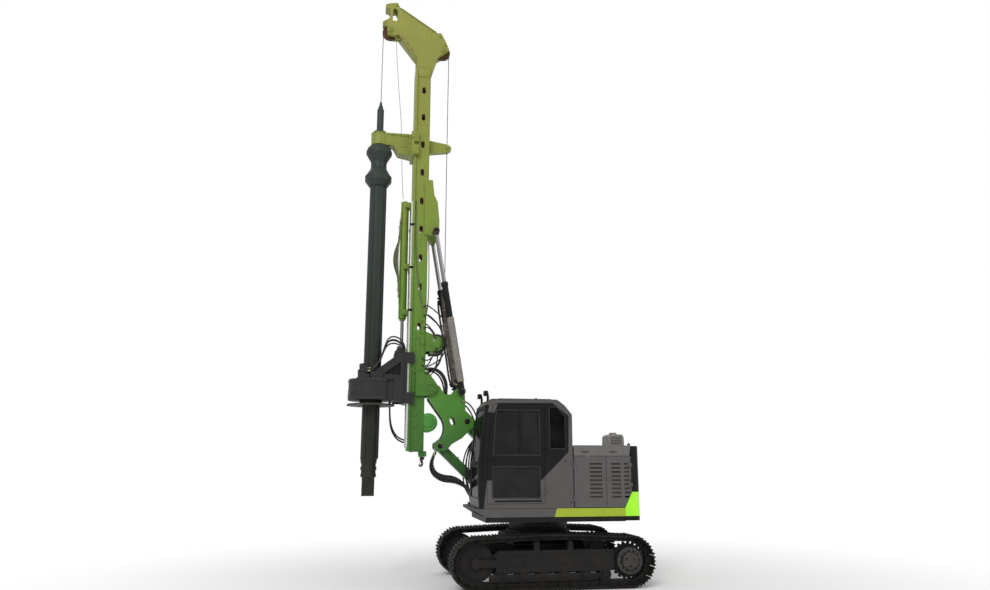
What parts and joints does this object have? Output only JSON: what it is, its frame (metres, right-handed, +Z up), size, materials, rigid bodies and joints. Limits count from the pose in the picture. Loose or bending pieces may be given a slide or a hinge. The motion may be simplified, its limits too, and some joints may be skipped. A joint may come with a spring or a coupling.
{
  "type": "rotary piling rig",
  "caption": "Tracked rotary piling rig with side cab, parallel-link boom, box mast, crowd cylinder, rotary drive and telescopic kelly bar.",
  "frame": {"origin": "on the ground under the slew axis", "axes": "-Y is the machine's front, +X its left (cab) side, +Z up"},
  "size_m": [2.353, 4.79, 10.1343],
  "materials": {
    "green_paint": "semi-gloss green paint",
    "dark_paint": "satin near-black paint",
    "grey_paint": "satin dark grey paint",
    "black_paint": "gloss black paint",
    "kelly_steel": "dark green-grey paint, worn",
    "track_steel": "worn dark steel",
    "bright_steel": "ground steel",
    "chrome": "hard chrome",
    "glass": "tinted glass",
    "seat_fabric": "woven fabric",
    "plastic": "moulded plastic",
    "hose_rubber": "hydraulic hose"
  },
  "bodies": {
    "undercarriage": {"centre_frame": "track_steel", "left_track_frame": "track_steel", "right_track_frame": "track_steel", "left_track": "track_steel", "right_track": "track_steel", "drive_sprockets": "track_steel", "front_idlers": "track_steel", "track_rollers": "track_steel", "slew_ring": "dark_paint"},
    "upperstructure": {"deck": "black_paint", "side_skirts": "grey_paint", "cab_shell": "grey_paint", "cab_glass": "glass", "operator_seat": "seat_fabric", "control_consoles": "plastic", "house_frame": "dark_paint", "engine_block": "dark_paint", "counterweight": "black_paint", "tool_box": "dark_paint", "fuel_tank": "grey_paint", "hydraulic_tank": "grey_paint", "handrails": "dark_paint", "work_lamps": "dark_paint"},
    "cab_door": {"cab_door": "grey_paint", "cab_door_glass": "glass"},
    "left_front_door": {"left_front_door": "grey_paint"},
    "left_rear_door": {"left_rear_door": "grey_paint"},
    "right_front_door": {"right_front_door": "grey_paint"},
    "right_rear_door": {"right_rear_door": "grey_paint"},
    "hood_lid": {"hood_lid": "grey_paint", "exhaust_housing": "grey_paint"},
    "boom": {"boom": "green_paint"},
    "lower_link": {"lower_link": "green_paint", "link_hoses": "hose_rubber"},
    "neck": {"neck_frame": "green_paint"},
    "luff_barrels": {"luff_barrels": "green_paint"},
    "luff_rods": {"luff_rods": "chrome"},
    "mast_barrels": {"mast_barrels": "dark_paint"},
    "mast_rods": {"mast_rods": "chrome"},
    "mast": {"mast_column": "green_paint", "guide_rails": "bright_steel", "mast_head": "green_paint", "rope_guide_arm": "green_paint", "winch_frame": "green_paint", "aux_winch": "green_paint", "parked_hook": "dark_paint", "crowd_barrel": "green_paint", "pivot_hoses": "hose_rubber", "drive_hoses": "hose_rubber"},
    "front_sheave": {"front_sheave": "dark_paint"},
    "rear_sheave": {"rear_sheave": "dark_paint"},
    "winch_drum": {"winch_drum": "dark_paint"},
    "drive": {"drive_carriage": "dark_paint", "rotary_drive": "dark_paint", "crowd_rod": "chrome"},
    "drive_sleeve": {"drive_sleeve": "dark_paint"},
    "kelly_guide": {"kelly_guide": "green_paint"},
    "kelly_outer": {"kelly_outer": "kelly_steel"},
    "kelly_inner": {"kelly_inner": "kelly_steel"}
  },
  "joints": [
    {"name": "slew", "type": "hinge", "parent": "undercarriage", "child": "upperstructure", "pos_m": [0, 0, 0.96], "axis": [0, 0, 1], "continuous": true},
    {"name": "boom_luff", "type": "hinge", "parent": "upperstructure", "child": "boom", "pos_m": [0, -0.36, 1.7], "axis": [-1, 0, 0], "range_deg": [-15, 15]},
    {"name": "neck_level", "type": "hinge", "parent": "boom", "child": "neck", "pos_m": [0, -1.22, 2.52], "axis": [-1, 0, 0], "range_deg": [-15, 15]},
    {"name": "link_swing", "type": "hinge", "parent": "upperstructure", "child": "lower_link", "pos_m": [0, -0.8, 1.3], "axis": [-1, 0, 0], "range_deg": [-15, 15], "deforming": ["link_hoses"]},
    {"name": "luff_barrel_swing", "type": "hinge", "parent": "upperstructure", "child": "luff_barrels", "pos_m": [0, -1.02, 1.3], "axis": [-1, 0, 0], "range_deg": [-10, 10]},
    {"name": "luff_rod_slide", "type": "slide", "parent": "luff_barrels", "child": "luff_rods", "axis": [0, 0.1382, 0.9904], "range_m": [-0.18, 0.18]},
    {"name": "mast_tilt", "type": "hinge", "parent": "neck", "child": "mast", "pos_m": [0, -1.83, 3.05], "axis": [-1, 0, 0], "range_deg": [-5, 90], "deforming": ["pivot_hoses"]},
    {"name": "mast_barrel_swing", "type": "hinge", "parent": "neck", "child": "mast_barrels", "pos_m": [0, -1.33, 3], "axis": [-1, 0, 0], "range_deg": [-8, 104]},
    {"name": "mast_rod_slide", "type": "slide", "parent": "mast_barrels", "child": "mast_rods", "axis": [0, -0.1703, 0.9854], "range_m": [-0.62, 0.06]},
    {"name": "crowd_slide", "type": "slide", "parent": "mast", "child": "drive", "axis": [0, 0, 1], "range_m": [-0.62, 0.3], "deforming": ["drive_hoses"]},
    {"name": "sleeve_spin", "type": "hinge", "parent": "drive", "child": "drive_sleeve", "pos_m": [0, -2.8, 2.85], "axis": [0, 0, 1], "continuous": true},
    {"name": "kelly_lift", "type": "slide", "parent": "mast", "child": "kelly_guide", "axis": [0, 0, 1], "range_m": [-0.75, 0.65]},
    {"name": "kelly_spin", "type": "hinge", "parent": "kelly_guide", "child": "kelly_outer", "pos_m": [0, -2.8, 7.4], "axis": [0, 0, 1], "continuous": true},
    {"name": "kelly_extend", "type": "slide", "parent": "kelly_outer", "child": "kelly_inner", "axis": [0, 0, 1], "range_m": [-4.2, 0]},
    {"name": "front_sheave_spin", "type": "hinge", "parent": "mast", "child": "front_sheave", "pos_m": [0, -2.68, 9.56], "axis": [1, 0, 0], "continuous": true},
    {"name": "rear_sheave_spin", "type": "hinge", "parent": "mast", "child": "rear_sheave", "pos_m": [0, -1.705, 9.25], "axis": [1, 0, 0], "continuous": true},
    {"name": "winch_spin", "type": "hinge", "parent": "mast", "child": "winch_drum", "pos_m": [0, -1.74, 3.8], "axis": [1, 0, 0], "continuous": true},
    {"name": "cab_door_swing", "type": "hinge", "parent": "upperstructure", "child": "cab_door", "pos_m": [1.165, -0.14, 2], "axis": [0, 0, 1], "range_deg": [0, 170]},
    {"name": "left_front_door_swing", "type": "hinge", "parent": "upperstructure", "child": "left_front_door", "pos_m": [1.162, 0.31, 1.55], "axis": [0, 0, 1], "range_deg": [-100, 0]},
    {"name": "left_rear_door_swing", "type": "hinge", "parent": "upperstructure", "child": "left_rear_door", "pos_m": [1.162, 1.24, 1.65], "axis": [0, 0, -1], "range_deg": [-100, 0]},
    {"name": "right_front_door_swing", "type": "hinge", "parent": "upperstructure", "child": "right_front_door", "pos_m": [-1.162, 0.31, 1.55], "axis": [0, 0, -1], "range_deg": [-100, 0]},
    {"name": "right_rear_door_swing", "type": "hinge", "parent": "upperstructure", "child": "right_rear_door", "pos_m": [-1.162, 1.24, 1.65], "axis": [0, 0, 1], "range_deg": [-100, 0]},
    {"name": "hood_lid_lift", "type": "hinge", "parent": "upperstructure", "child": "hood_lid", "pos_m": [0, 0.316, 2.133], "axis": [-1, 0, 0], "range_deg": [-60, 0]}
  ],
  "couplings": [
    {"joint": "neck_level", "follows": "boom_luff", "ratio": -1},
    {"joint": "link_swing", "follows": "boom_luff", "ratio": 1},
    {"joint": "luff_barrel_swing", "follows": "boom_luff", "ratio": 0.46746},
    {"joint": "luff_rod_slide", "follows": "boom_luff", "m_per_rad": 0.59664},
    {"joint": "mast_barrel_swing", "follows": "mast_tilt", "ratio": 1.1031},
    {"joint": "mast_rod_slide", "follows": "mast_tilt", "m_per_rad": -0.37574},
    {"joint": "sleeve_spin", "follows": "kelly_spin", "ratio": 1}
  ]
}
